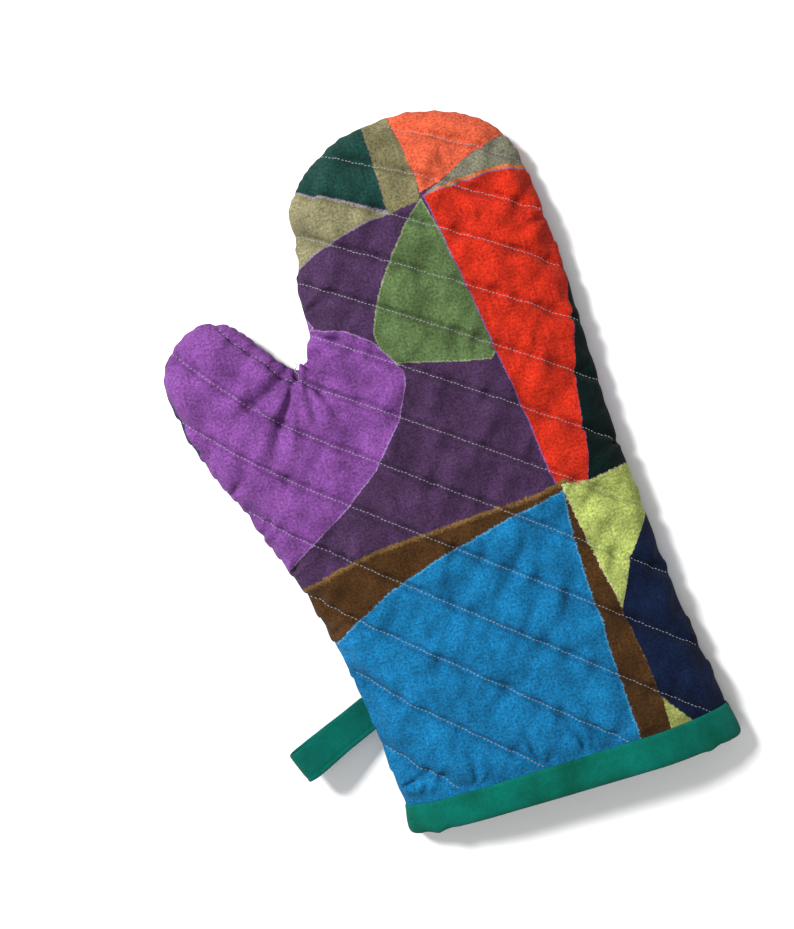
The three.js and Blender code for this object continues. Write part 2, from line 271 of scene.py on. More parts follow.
def puff(places, depth):
    """From 0 at a row, a seam and the binding to 1 where the padding is free to swell."""
    share = from_rows(places)[1]
    above_binding = np.clip((places[:, 1] - 14) / 14, 0, 1)
    return (1 - abs(2 * share - 1) ** 2.4) * np.clip(depth / 10, 0, 1) * above_binding


def palm_height(places, depth):
    pinch = 1.2 * np.clip((19 - places[:, 1]) / 4, 0, 1) * np.clip(depth / 3, 0, 1)
    return SEAM_HEIGHT + palm_crown(places, depth) + 2.3 * puff(places, depth) - pinch


def back_height(places, depth):
    return SEAM_HEIGHT - (SEAM_HEIGHT - 2.0) * dome(depth, 11, 2.0) - 1.2 * puff(places, depth)


skin = cloth_shell("skin", 3.2, 0, palm_height, back_height)


# The padding pushes the cloth out between the rows of quilting, which hold it down.
def inflate(piece, frames=18):
    mesh = piece.data
    start = vertex_places(mesh)
    plan = plan_of(mesh)
    depth = distance_inside(plan, outline)[0]
    near_row = from_rows(plan)[0]
    at_row = np.exp(-((near_row / 1.5) ** 2))
    hold = np.maximum(at_row, np.exp(-np.clip(depth, 0, None) / 1.2))
    hold[plan[:, 1] < 17] = 1
    group = piece.vertex_groups.new(name="hold")
    for index, weight in enumerate(hold):
        group.add([index], float(weight), "REPLACE")
    take(piece)
    bpy.ops.object.modifier_add(type="CLOTH")
    cloth = piece.modifiers[-1]
    cloth.settings.quality = 5
    cloth.settings.mass = 0.15
    cloth.settings.vertex_group_mass = "hold"
    cloth.settings.pin_stiffness = 1
    cloth.settings.tension_stiffness = 12
    cloth.settings.compression_stiffness = 12
    cloth.settings.bending_stiffness = 0.15
    cloth.settings.shrink_min = -0.05
    cloth.settings.use_pressure = True
    cloth.settings.uniform_pressure_force = 3
    cloth.settings.effector_weights.gravity = 0
    cloth.collision_settings.use_collision = False
    for step in range(1, frames + 1):
        bpy.context.scene.frame_set(step)
    bpy.ops.object.modifier_apply(modifier=cloth.name)
    bpy.context.scene.frame_set(1)
    moved = vertex_places(mesh) - start
    far = np.linalg.norm(moved, axis=1)
    cap = 2.6 * MM
    moved *= (cap * np.tanh(far / cap) / np.maximum(far, 1e-9))[:, None]
    placed = start + moved
    placed[:, 2] = np.maximum(placed[:, 2], 0.4 * MM)
    mesh.vertices.foreach_set("co", placed.ravel())
    mesh.update()
    piece.vertex_groups.clear()


inflate(skin)

take(skin)
bpy.ops.object.modifier_add(type="SUBSURF")
skin.modifiers[-1].levels = skin.modifiers[-1].render_levels = 2
bpy.ops.object.modifier_apply(modifier=skin.modifiers[-1].name)


def vertex_normals(mesh):
    normals = np.zeros(len(mesh.vertices) * 3)
    mesh.vertices.foreach_get("normal", normals)
    return normals.reshape(-1, 3)


def ripples(places, along, across, seed):
    """Smooth bumps, from -1 to 1, of one length along the first axis and another across it."""
    return np.array([noise.noise((x / along, y / across, seed)) for x, y in places])


# Each row is stitched tight: a narrow valley with short puckers off both sides. The turned
# edge is rolled, and the cloth gathers in deep folds where fingers and thumb part.
CROTCH = np.array([-70.8, 225.0])
# direction of a fold from the crotch in degrees, its length, width and depth in millimetres
CROTCH_FOLDS = [
    (174, 38, 3.4, 1.8), (191, 26, 2.2, 1.0), (206, 50, 4.4, 2.8), (224, 30, 2.4, 1.3), (240, 56, 3.2, 3.0),
    (256, 36, 2.6, 2.0), (275, 44, 2.8, 1.6), (296, 50, 3.0, 1.3), (18, 30, 3.2, 2.6), (-9, 26, 2.4, 1.6),
    (-32, 38, 2.6, 1.2),
]  # fmt: skip
# places where the cloth is caught at the seam: start, direction, length, width and depth
SEAM_FOLDS = [
    ((-112, 152), 42, 24, 2.4, 1.3), ((-101, 133), 38, 14, 2.0, 1.2), ((-119, 176), 30, 16, 2.2, 0.9),
    ((-91, 100), 25, 15, 2.0, 0.7), ((-78, 22), 20, 22, 2.4, 1.0), ((-70, 16), 70, 18, 2.2, 0.9),
    ((-45, 15), 84, 22, 2.2, 0.9), ((-14, 16), 98, 26, 2.4, 1.1), ((8, 17), 102, 24, 2.2, 1.0),
    ((66, 150), 190, 20, 2.4, 1.0), ((62, 262), 200, 22, 2.4, 1.0), ((-60, 250), 8, 20, 2.4, 1.0),
]  # fmt: skip


def fold(plan, start, degrees, length, width, depth):
    """A crease that starts at a place and runs out, with the cloth it takes up raised beside it."""
    away = plan - np.asarray(start)
    turn = math.radians(degrees)
    along = away @ (math.cos(turn), math.sin(turn))
    aside = away @ (-math.sin(turn), math.cos(turn)) + 0.06 * width * np.sin(along / 4)
    t = np.clip(along / length, 0, 1)
    run = np.clip(along / 3 + 0.4, 0, 1) * (1 - t) ** 0.8 * (t < 1)
    spread = width * (0.45 + 0.9 * t)
    crease = np.exp(-((aside / spread) ** 2))
    ridges = np.exp(-(((abs(aside) - 2 * spread) / (1.2 * spread)) ** 2))
    return 1.8 * depth * run * (0.5 * ridges - crease)


VALLEY_DEPTH, VALLEY_WIDTH = 2.1, 1.5
ROLL_DEPTH, ROLL_WIDTH = 0.7, 1.1  # the furrow along the edge seam
EDGE_PULL = 0.4  # how far a row draws the cloth in where it meets the seam


def sewn_surface(mesh):
    plan = plan_of(mesh)
    points, normals = vertex_places(mesh) / MM, vertex_normals(mesh)
    depth = distance_inside(plan, outline)[0]
    near_row = from_rows(plan)[0]
    turned = np.column_stack([plan[:, 0] * 0.78 - plan[:, 1] * 0.62, plan[:, 0] * 0.62 + plan[:, 1] * 0.78])
    clear = np.clip(depth / 5, 0, 1) * np.clip((plan[:, 1] - 16) / 6, 0, 1)
    lift = -VALLEY_DEPTH * np.exp(-((near_row / VALLEY_WIDTH) ** 2)) * clear
    lift += 2.5 * ripples(turned, 7, 21, 3.1) * np.exp(-near_row / 10) * clear
    lift += 1.9 * ripples(turned, 13, 26, 8.4) * clear
    gathers = sum(fold(plan, CROTCH, *values) for values in CROTCH_FOLDS)
    gathers += sum(fold(plan, *values) for values in SEAM_FOLDS)
    lift += gathers * np.clip(depth / 3, 0, 1) * np.clip((plan[:, 1] - 16) / 3, 0, 1)
    edge = abs(points[:, 2] - SEAM_HEIGHT)
    inside = np.clip(depth, 0, None)
    lift -= ROLL_DEPTH * np.exp(-((edge / ROLL_WIDTH) ** 2)) * np.exp(-inside / 2)
    lift -= EDGE_PULL * np.exp(-((near_row / 4) ** 2)) * np.exp(-inside / 7) * (plan[:, 1] > 20)
    points += normals * lift[:, None]
    points[:, 2] = np.maximum(points[:, 2], 0.2)
    mesh.vertices.foreach_set("co", (points * MM).ravel())
    mesh.update()


sewn_surface(skin.data)

# ---- Printed cotton ----
# Plain-weave cotton, printed in blocks of colour with brushed edges and a heathered ground.
# The eye sees a matt, slightly hairy cloth with fine speckle, and slubs that run up the mitt.


def linear(hex_colour):
    value = hex_colour.lstrip("#")
    channels = [int(value[k : k + 2], 16) / 255 for k in (0, 2, 4)]
    return [c / 12.92 if c <= 0.04045 else ((c + 0.055) / 1.055) ** 2.4 for c in channels] + [1.0]


def dyed(hex_colour):
    """A dye as it looks by a bright window, taken down to the cloth's own colour."""
    return [0.62 * channel for channel in linear(hex_colour)[:3]] + [1.0]


def add_node(tree, kind, inputs=None, **settings):
    """Adds a shader node with its settings; an input is a value or another node's socket."""
    made = tree.nodes.new(kind)
    for key, value in settings.items():
        setattr(made, key, value)
    for key, value in (inputs or {}).items():
        if isinstance(value, bpy.types.NodeSocket):
            tree.links.new(value, made.inputs[key])
        else:
            made.inputs[key].default_value = value
    return made


def new_material(name):
    material = bpy.data.materials.new(name)
    material.use_nodes = True
    material.node_tree.nodes.clear()
    return material, material.node_tree


def cotton_surface(tree, colour, place, thread_mm, roughness=0.92, weave_depth=0.06):
    """Output of a matt woven cloth: over-and-under threads, a soft nap and a little sheen."""
    threads = []
    for direction in ("X", "Y"):
        threads.append(add_node(tree, "ShaderNodeTexWave", {
            "Vector": place, "Scale": 0.314 / (thread_mm * MM), "Distortion": 1.2, "Detail": 1.0,
            "Detail Scale": 1.5}, bands_direction=direction).outputs["Fac"])  # fmt: skip
    weave = add_node(tree, "ShaderNodeMath", {0: threads[0], 1: threads[1]}, operation="MULTIPLY")
    nap = add_node(tree, "ShaderNodeTexNoise", {
        "Vector": place, "Scale": 900, "Detail": 3.0, "Roughness": 0.7})  # fmt: skip
    relief = add_node(tree, "ShaderNodeMath", {0: weave.outputs[0], 1: nap.outputs["Fac"]}, operation="ADD")
    bump = add_node(tree, "ShaderNodeBump", {
        "Height": relief.outputs[0], "Strength": 0.55, "Distance": weave_depth * MM})  # fmt: skip
    shader = add_node(tree, "ShaderNodeBsdfPrincipled", {
        "Base Color": colour, "Roughness": roughness, "Normal": bump.outputs["Normal"],
        "Specular IOR Level": 0.05, "Sheen Weight": 0.02, "Sheen Roughness": 0.6})  # fmt: skip
    add_node(tree, "ShaderNodeOutputMaterial", {"Surface": shader.outputs["BSDF"]})


def mixed(tree, factor, first, second, blend="MIX"):
    made = tree.nodes.new("ShaderNodeMix")
    made.data_type = "RGBA"
    made.blend_type = blend
    for socket, value in ((made.inputs[0], factor), (made.inputs[6], first), (made.inputs[7], second)):
        if isinstance(value, bpy.types.NodeSocket):
            tree.links.new(value, socket)
        else:
            socket.default_value = value
    return made.outputs[2]


def heathered(tree, colour, place, strength=0.58):
    """Fine speckle, long slubs and broad patches of a deeper or paler dye."""
    speckle = add_node(tree, "ShaderNodeTexNoise", {
        "Vector": place, "Scale": 850, "Detail": 2.0, "Roughness": 0.75})  # fmt: skip
    stretch = add_node(tree, "ShaderNodeMapping", {"Vector": place, "Scale": (1.0, 0.09, 1.0)})
    slub = add_node(tree, "ShaderNodeTexNoise", {"Vector": stretch.outputs[0], "Scale": 520, "Detail": 2.0})
    patch = add_node(tree, "ShaderNodeTexNoise", {
        "Vector": place, "Scale": 75, "Detail": 4.0, "Roughness": 0.6})  # fmt: skip
    # each pattern's darkest and palest tone, and its share of the whole
    patterns = ((speckle, 0.55, 1.5, 1.0), (slub, 0.85, 1.17, 0.5), (patch, 0.72, 1.3, 1.0))
    for source, low, high, share in patterns:
        tone = add_node(tree, "ShaderNodeMapRange", {
            0: source.outputs["Fac"], 1: 0.28, 2: 0.72, 3: 1 + (low - 1) * share * strength * 2,
            4: 1 + (high - 1) * share * strength * 2})  # fmt: skip
        colour = mixed(tree, 1.0, colour, tone.outputs[0], "MULTIPLY")
    return colour


def printed_cotton(name, ground, blocks):
    """Cotton printed with blocks; each block's depth inside its border is a map on the mesh."""
    material, tree = new_material(name)
    place = add_node(tree, "ShaderNodeUVMap", uv_map="plan").outputs["UV"]
    ragged = add_node(tree, "ShaderNodeTexNoise", {
        "Vector": place, "Scale": 620, "Detail": 3.0, "Roughness": 0.8})  # fmt: skip
    colour = dyed(ground)
    for block, (ink, fray, rim, rim_width, _) in blocks.items():
        depth = add_node(tree, "ShaderNodeAttribute", attribute_name=block).outputs["Fac"]
        frayed = add_node(tree, "ShaderNodeMath", {
            0: ragged.outputs["Fac"], 1: 3 * fray, 2: -1.5 * fray}, operation="MULTIPLY_ADD")  # fmt: skip
        edge = add_node(
            tree, "ShaderNodeMath", {0: depth, 1: frayed.outputs[0]}, operation="ADD"
        ).outputs[0]
        if rim:
            pale = add_node(tree, "ShaderNodeMapRange", {0: edge, 1: -rim_width, 2: 0.3 - rim_width})
            colour = mixed(tree, pale.outputs[0], colour, dyed(rim))
        soft = 0.18 + 0.45 * max(rim_width - 0.8, 0)
        cover = add_node(tree, "ShaderNodeMapRange", {0: edge, 1: -soft, 2: soft}).outputs[0]
        colour = mixed(tree, cover, colour, dyed(ink))
    cotton_surface(tree, heathered(tree, colour, place), place, 0.45)
    return material


# name: colour, fray of its edge, colour and width of its pale rim, outline in plan; all in mm
PALM_BLOCKS = {
    "teal": ("#1c413b", 0.5, None, 0, [
        (-60, 309), (-10.5, 282), (-10.5, 340), (-60, 340)]),
    "khaki_strip": ("#7b7554", 1.0, None, 0, [
        (-10.5, 340), (-10.5, 281), (6, 283), (7, 292), (4, 312), (1, 340)]),
    "coral": ("#e46443", 0.7, None, 0, [
        (1, 340), (4, 312), (7, 292), (6.5, 286), (20, 290.5), (30, 296), (62, 308), (70, 340)]),
    "grey": ("#85836f", 0.8, None, 0, [
        (6, 284), (20, 290.5), (30, 296), (62, 308), (75, 300), (75, 283), (40, 284)]),
    "khaki_low": ("#8a8564", 0.7, "#8f7f9c", 0.6, [
        (-75, 312), (-50, 306.5), (-10, 282), (-30, 279), (-55, 271.5), (-75, 267)]),
    "olive": ("#5d7448", 0.8, "#8d9a72", 0.7, [
        (6, 283), (-3, 275), (-14, 262), (-22, 250), (-28, 240), (-32, 230), (-31, 222), (-26, 214),
        (-5, 208.5), (17, 203.8), (20, 207), (15, 245), (10, 268)]),
    "red": ("#d2311c", 0.7, "#8a5ca8", 0.6, [
        (8, 284.5), (40, 287), (75, 284), (75, 240), (63, 228), (57.5, 205), (52, 180), (47.5, 150),
        (44, 136.5), (29, 136.5), (27, 158), (22, 195), (16.5, 234), (12, 262)]),
    "orange_edge": ("#df7a45", 0.8, None, 0, [
        (8, 283.8), (20, 286.2), (40, 287.6), (75, 284.6), (75, 286.6), (40, 289.4), (19, 287.6)]),
    "black_green": ("#081e1b", 0.5, None, 0, [
        (44, 137), (47.5, 150), (52, 180), (57.5, 205), (63, 229), (66, 250), (80, 250), (80, 136),
        (60, 138.5)]),
    "violet": ("#824b96", 0.6, "#a583ba", 0.6, [
        (-63, 241), (-45, 235), (-34, 226), (-24, 209), (-25, 203), (-33, 187), (-50, 168), (-70, 153.5),
        (-90, 142), (-103, 134), (-160, 120), (-160, 275), (-75, 275), (-60, 241.5)]),
    "brown": ("#4e341b", 1.6, "#7f6037", 2.0, [
        (-110, 120), (-98, 122.5), (-80, 127), (-60, 131), (-20, 133.5), (20, 135.5), (33, 138),
        (38, 105), (43, 72), (47, 45), (50, 10), (50, -20), (-110, -20)]),
    "blue": ("#1876ab", 1.5, "#4f9fcf", 0.7, [
        (-110, 82), (-92, 93.5), (-80, 101), (-60, 111.5), (-35, 120), (0, 128.5), (31, 134.5),
        (29.5, 105), (31, 60), (33, 10), (33, -20), (-110, -20)]),
    "lime": ("#b9c86c", 1.3, "#c9cb8e", 0.8, [
        (31.5, 137), (45, 136), (62, 138), (80, 138), (80, 128), (68, 114.5), (60, 106), (51, 94),
        (43, 76), (38.5, 96), (34, 125)]),
    "navy": ("#13213f", 0.7, None, 0, [
        (80, 126), (68, 114.5), (60, 106), (51, 94), (42.5, 74), (45.5, 56), (48, 31), (60, 14),
        (62, -20), (95, -20), (95, 126)]),
    "slate_edge": ("#2f3b52", 0.3, None, 0, [
        (-142, 244), (-135, 241), (-134, 228), (-131.2, 214), (-128.6, 204), (-126.5, 199), (-136, 198)]),
    "lime_corner": ("#b3bb69", 0.9, None, 0, [
        (48, 30), (50, -20), (62, -20), (60, 15)]),
}  # fmt: skip
BACK_BLOCKS = {
    "slate": ("#2f3b52", 0.8, None, 0, [
        (-160, 300), (-62, 240), (-48, 205), (-52, 160), (-100, 120), (-160, 120)]),
    "violet_hand": ("#8450a0", 0.7, "#a583ba", 0.6, [
        (-48, 260), (-20, 240), (20, 216), (75, 205), (75, 150), (10, 158), (-50, 170)]),
    "red_tip": ("#cf3322", 0.9, "#e0793f", 1.1, [
        (-80, 345), (75, 345), (75, 292), (10, 282), (-58, 272)]),
    "olive_band": ("#5d7448", 0.9, "#8d9a72", 0.7, [
        (-50, 170), (10, 158), (75, 150), (75, 118), (0, 124), (-100, 112), (-100, 128)]),
    "blue_cuff": ("#2279ad", 1.4, "#4f9fcf", 0.7, [
        (-110, 88), (-30, 104), (75, 92), (95, -20), (-110, -20)]),
    "brown_corner": ("#583a1c", 1.4, "#7f6037", 2.0, [
        (20, -20), (34, 60), (78, 74), (95, -20)]),
}  # fmt: skip


def map_blocks(mesh, blocks):
    """Writes each block's depth inside its border, in millimetres, on the mesh."""
    plan = plan_of(mesh)
    for block, (*_, corners) in blocks.items():
        depth = np.clip(distance_inside(plan, corners)[0], -6, 6)
        attribute = mesh.attributes.new(block, "FLOAT", "POINT")
        attribute.data.foreach_set("value", depth.astype(np.float32))


palm_print = printed_cotton("cotton_print_palm", "#4b3354", PALM_BLOCKS)
back_print = printed_cotton("cotton_print_back", "#43304e", BACK_BLOCKS)

# ---- Palm and back panels ----
# The skin parts along the edge seam into palm and back. Each is again in two, the thumb and the hand
# with its fingers, parted along the fold where the thumb meets the hand.
THUMB_FOLD = np.array([-70.5, 226.0])
FOLD_AWAY = np.array([-0.984, 0.177])  # points from the fold out to the thumb


def past_fold(plan):
    """How far a place is out from the thumb's fold, and only where the thumb's root is."""
    out = (plan - THUMB_FOLD) @ FOLD_AWAY
    return np.where(plan[:, 1] > 90, out, -1)


def row_point(x, y, z):
    return (CUFF_X + x * MM, CUFF_Y + y * MM, z * MM)


def bend_with_thumb(piece):
    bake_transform(piece)


def bend_with_fingers(piece):
    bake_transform(piece)


def part_of(whole, name, chosen, material):
    """A new piece from the chosen faces of a mesh, shaded as if they were still joined."""
    mesh = whole.data
    normals, points, plan = vertex_normals(mesh), vertex_places(mesh), plan_of(mesh)
    faces = [tuple(mesh.polygons[k].vertices) for k in np.nonzero(chosen)[0]]
    used = np.unique(np.concatenate([np.array(f) for f in faces]))
    renumber = np.full(len(points), -1)
    renumber[used] = np.arange(len(used))
    made = bpy.data.meshes.new(name)
    made.from_pydata(points[used], [], [tuple(renumber[list(f)]) for f in faces])
    corners = np.zeros(len(made.loops), int)
    made.loops.foreach_get("vertex_index", corners)
    made.uv_layers.new(name="plan").data.foreach_set("uv", (plan[used][corners] * MM).ravel())
    made.polygons.foreach_set("use_smooth", [True] * len(made.polygons))
    made.normals_split_custom_set_from_vertices(normals[used])
    made.materials.append(material)
    piece = bpy.data.objects.new(name, made)
    bpy.context.scene.collection.objects.link(piece)
    return piece


def face_centres(mesh):
    centres = np.zeros(len(mesh.polygons) * 3)
    mesh.polygons.foreach_get("center", centres)
    return centres.reshape(-1, 3)


def face_sides(mesh):
    sides = np.zeros(len(mesh.polygons), int)
    mesh.polygons.foreach_get("material_index", sides)
    return sides


centres = (face_centres(skin.data)[:, :2] - np.array([CUFF_X, CUFF_Y])) / MM
thumb_faces = past_fold(centres) > -0.5
panels = {}
for side, (label, prints, blocks) in enumerate(
    (("palm", palm_print, PALM_BLOCKS), ("back", back_print, BACK_BLOCKS))
):
    cad = "front" if side == 0 else "back"
    on_side = face_sides(skin.data) == side
    hand_panel = part_of(skin, f"{label}_panel", on_side & ~thumb_faces, prints)
    thumb_panel = part_of(skin, f"{label}_panel_thumb", on_side & thumb_faces, prints)
    for panel, regions in ((hand_panel, ("hand", "fingers")), (thumb_panel, ("thumb",))):
        map_blocks(panel.data, blocks)
        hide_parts(*[f"{cad}_{layer}_{r}" for layer in ("shell", "batting") for r in regions])
    bend_with_fingers(hand_panel)
    bend_with_thumb(thumb_panel)
    panels[label] = (hand_panel, thumb_panel)

# ---- Quilting ----
# Pale grey spun-polyester thread in straight rows through all the layers. Each row is a line
# of small lockstitches sunk in its valley, on the palm and again on the back.
STITCH_PITCH, STITCH_LENGTH, THREAD_RADIUS = 1.8, 1.25, 0.21


def spun_thread(name, hex_colour):
    """Spun polyester: dull and twisted, with a painted highlight that makes it paler on the raised crests of
    its ply relief.
    """
    material, tree = new_material(name)
    place = add_node(tree, "ShaderNodeTexCoord").outputs["Object"]
    ply = add_node(tree, "ShaderNodeTexNoise", {"Vector": place, "Scale": 1500, "Detail": 2.0})
    # painted highlight: the tone follows the same ply noise as the bump, so the thread is paler where its
    # relief stands highest
    tone = add_node(tree, "ShaderNodeMapRange", {0: ply.outputs["Fac"], 1: 0.3, 2: 0.7, 3: 0.7, 4: 1.25})
    colour = mixed(tree, 1.0, dyed(hex_colour), tone.outputs[0], "MULTIPLY")
    bump = add_node(tree, "ShaderNodeBump", {
        "Height": ply.outputs["Fac"], "Strength": 0.4, "Distance": 0.1 * MM})  # fmt: skip
    shader = add_node(tree, "ShaderNodeBsdfPrincipled", {
        "Base Color": colour, "Roughness": 0.6, "Normal": bump.outputs["Normal"],
        "Sheen Weight": 0.1})  # fmt: skip
    add_node(tree, "ShaderNodeOutputMaterial", {"Surface": shader.outputs["BSDF"]})
    return material


thread = spun_thread("spun_polyester_thread", "#adaeb4")


def stitch_shape():
    """One stitch along X: a round-ended grain of thread, in millimetres."""
    rings = [(-0.5, 0.25), (-0.36, 0.85), (0.0, 1.0), (0.36, 0.85), (0.5, 0.25)]
    points = [
        (share * STITCH_LENGTH, THREAD_RADIUS * size * math.cos(turn), THREAD_RADIUS * size * math.sin(turn))
        for share, size in rings
        for turn in (k * math.tau / 6 for k in range(6))
    ]
    faces = []
    for ring in range(len(rings) - 1):
        for k in range(6):
            a, b = ring * 6 + k, ring * 6 + (k + 1) % 6
            faces.append((a, b, b + 6, a + 6))
    last = (len(rings) - 1) * 6
    return np.array(points), faces + [tuple(range(5, -1, -1)), tuple(range(last, last + 6))]


STITCH_POINTS, STITCH_FACES = stitch_shape()


def sew(name, centres, directions, normals):
    """A row of stitches, each lying along its direction on the cloth."""
    points, faces = [], []
    for centre, direction, normal in zip(centres, directions, normals):
        x = direction - normal * (direction @ normal)
        x /= np.linalg.norm(x)
        y = np.cross(normal, x)
        first = len(points)
        points.extend(centre + MM * (STITCH_POINTS @ np.array([x, y, normal])))
        faces.extend(tuple(first + k for k in face) for face in STITCH_FACES)
    mesh = bpy.data.meshes.new(name)
    mesh.from_pydata(points, [], faces)
    mesh.polygons.foreach_set("use_smooth", [True] * len(mesh.polygons))
    mesh.materials.append(thread)
    piece = bpy.data.objects.new(name, mesh)
    bpy.context.scene.collection.objects.link(piece)
    return piece


class Cloth:
    """Finds a panel's surface, and its facing, over a plan place."""

    def __init__(self, panel):
        mesh = panel.data
        self.points, self.normals = vertex_places(mesh), vertex_normals(mesh)
        self.plan = plan_of(mesh)
        self.cells = {}
        for index, (x, y) in enumerate(self.plan):
            self.cells.setdefault((int(x // 2), int(y // 2)), []).append(index)

    def at(self, x, y):
        near = []
        for i in (-1, 0, 1):
            for j in (-1, 0, 1):
                near.extend(self.cells.get((int(x // 2) + i, int(y // 2) + j), []))
        if len(near) < 4:
            return None
        gaps = np.linalg.norm(self.plan[near] - (x, y), axis=1)
        best = np.argsort(gaps)[:4]
        if gaps[best[0]] > 1.2:
            return None
        weights = 1 / (gaps[best] + 0.05)
        chosen = np.array(near)[best]
        point = (self.points[chosen] * weights[:, None]).sum(0) / weights.sum()
        normal = (self.normals[chosen] * weights[:, None]).sum(0)
        return point, normal / np.linalg.norm(normal)


cad_rows = [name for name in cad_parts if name.startswith("quilting_row_")]
for label, cloths in panels.items():
    for panel, is_thumb in zip(cloths, (False, True)):
        cloth = Cloth(panel)
        for row in range(ROW_COUNT):
            centres_, directions, facing = [], [], []
            slope = row_slope(row)
            across = np.arange(-140, 85, STITCH_PITCH * 0.78)
            line = np.column_stack([across, row_height(row, across)])
            kept = (line[:, 1] > 15) & (distance_inside(line, outline)[0] > 2.2)
            kept &= (past_fold(line) > -0.5) == is_thumb
            for x, y in line[kept]:
                found = cloth.at(x, y)
                if found:
                    centres_.append(found[0] + found[1] * 0.12 * MM)
                    directions.append(np.array([1.0, slope - 2 * thumb_bend(row) * max(0.0, -70 - x), 0.0]))
                    facing.append(found[1])
            if len(centres_) < 4:
                continue
            part = "_thumb" if is_thumb else ""
            seam = sew(f"{label}_quilting_{row + 1}{part}", centres_, directions, facing)
            (bend_with_thumb if is_thumb else bend_with_fingers)(seam)
            if label == "palm":
                regions = ("thumb",) if is_thumb else ("hand", "fingers")
                stood_for = [n for n in cad_rows if n in [f"quilting_row_{row + 1}_{r}" for r in regions]]
                if stood_for:
                    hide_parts(*stood_for)

# The last row's thread was left long where it ends at the crotch, and curls over the edge.
tail_way = [
    (-72.5, 219.5, 15.6), (-71.6, 222, 16.6), (-72.8, 224.6, 15.6), (-71.2, 227, 12.6), (-72.4, 229, 9.4),
]  # fmt: skip
points = []
for k in range(33):
    t = k / 8
    a = min(int(t), 3)
    way = [tail_way[max(a - 1, 0)], tail_way[a], tail_way[a + 1], tail_way[min(a + 2, 4)]]
    p, q, r, w = (Vector(v) for v in way)
    t -= a
    squared, cubed = 2 * p - 5 * q + 4 * r - w, 3 * q - p - 3 * r + w
    middle = 0.5 * (2 * q + (r - p) * t + squared * t * t + cubed * t**3)
    for turn in (0, 1, 2, 3, 4):
        angle = turn * math.tau / 5
        across = Vector((math.cos(angle), 0.3 * math.sin(angle), math.sin(angle))) * THREAD_RADIUS
        points.append(row_point(*(middle + across)))
faces = [
    (5 * k + j, 5 * k + (j + 1) % 5, 5 * k + 5 + (j + 1) % 5, 5 * k + 5 + j)
    for k in range(32)
    for j in range(5)
]
mesh = bpy.data.meshes.new("loose_thread_end")
mesh.from_pydata(points, [], faces + [(4, 3, 2, 1, 0), (160, 161, 162, 163, 164)])
mesh.polygons.foreach_set("use_smooth", [True] * len(mesh.polygons))
mesh.materials.append(thread)
tail = bpy.data.objects.new("loose_thread_end", mesh)
bpy.context.scene.collection.objects.link(tail)
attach(tail, "hand")

# ---- Lining ----
# A plain grey cotton on the inside of the same quilted cloth, seen through the open cuff.


def tucked(places):
    """How far a place is into the binding's fold, where the lining lies close to the outer cloth."""
    return np.clip((18 - places[:, 1]) / 6, 0, 1)


def lining_top(places, depth):
    crown = palm_crown(places, depth, 4.6 - 1.8 * tucked(places))
    return SEAM_HEIGHT + crown + 0.5 * ripples(places, 12, 16, 2.0)


def lining_bottom(places, depth):
    return SEAM_HEIGHT - (SEAM_HEIGHT - 6.0) * dome(depth, 8, 2.0) + 0.3 * ripples(places, 12, 16, 6.0)


def plain_cotton(name, hex_colour):
    """Undyed-looking plain weave: matt, with grey and paler threads mixed."""
    material, tree = new_material(name)
    place = add_node(tree, "ShaderNodeUVMap", uv_map="plan").outputs["UV"]
    cotton_surface(tree, heathered(tree, dyed(hex_colour), place, 0.25), place, 0.5)
    return material


lining_cloth = plain_cotton("plain_cotton_lining", "#8f9492")
inner = cloth_shell("inner", 5.2, 6.0, lining_top, lining_bottom)
take(inner)
bpy.ops.object.modifier_add(type="SUBSURF")
inner.modifiers[-1].levels = inner.modifiers[-1].render_levels = 1
bpy.ops.object.modifier_apply(modifier=inner.modifiers[-1].name)
inner.data.flip_normals()
plan, points = plan_of(inner.data), vertex_places(inner.data)
at_side = np.sign(plan[:, 0]) * np.clip((abs(plan[:, 0]) - 60) / 10, 0, 1)
points[:, 0] += 2.6 * MM * tucked(plan) * at_side
inner.data.vertices.foreach_set("co", points.ravel())
centres = (face_centres(inner.data)[:, :2] - np.array([CUFF_X, CUFF_Y])) / MM
thumb_faces = past_fold(centres) > -0.5
for side, label in ((0, "front"), (1, "back")):
    on_side = face_sides(inner.data) == side
    hand_lining = part_of(inner, f"{label}_lining_cloth", on_side & ~thumb_faces, lining_cloth)
    thumb_lining = part_of(inner, f"{label}_lining_cloth_thumb", on_side & thumb_faces, lining_cloth)
    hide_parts(f"{label}_lining_hand", f"{label}_lining_fingers")
    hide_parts(f"{label}_lining_thumb")
    bend_with_fingers(hand_lining)
    bend_with_thumb(thumb_lining)
for helper in (skin, inner):
    bpy.data.objects.remove(helper)

# ---- Cuff binding ----
# Green cotton bias tape, folded over the raw edge of the mouth and sewn through. It stands
# a little proud of the panels, with small pleats where it turns the corners at the sides.
BINDING_RING = 260


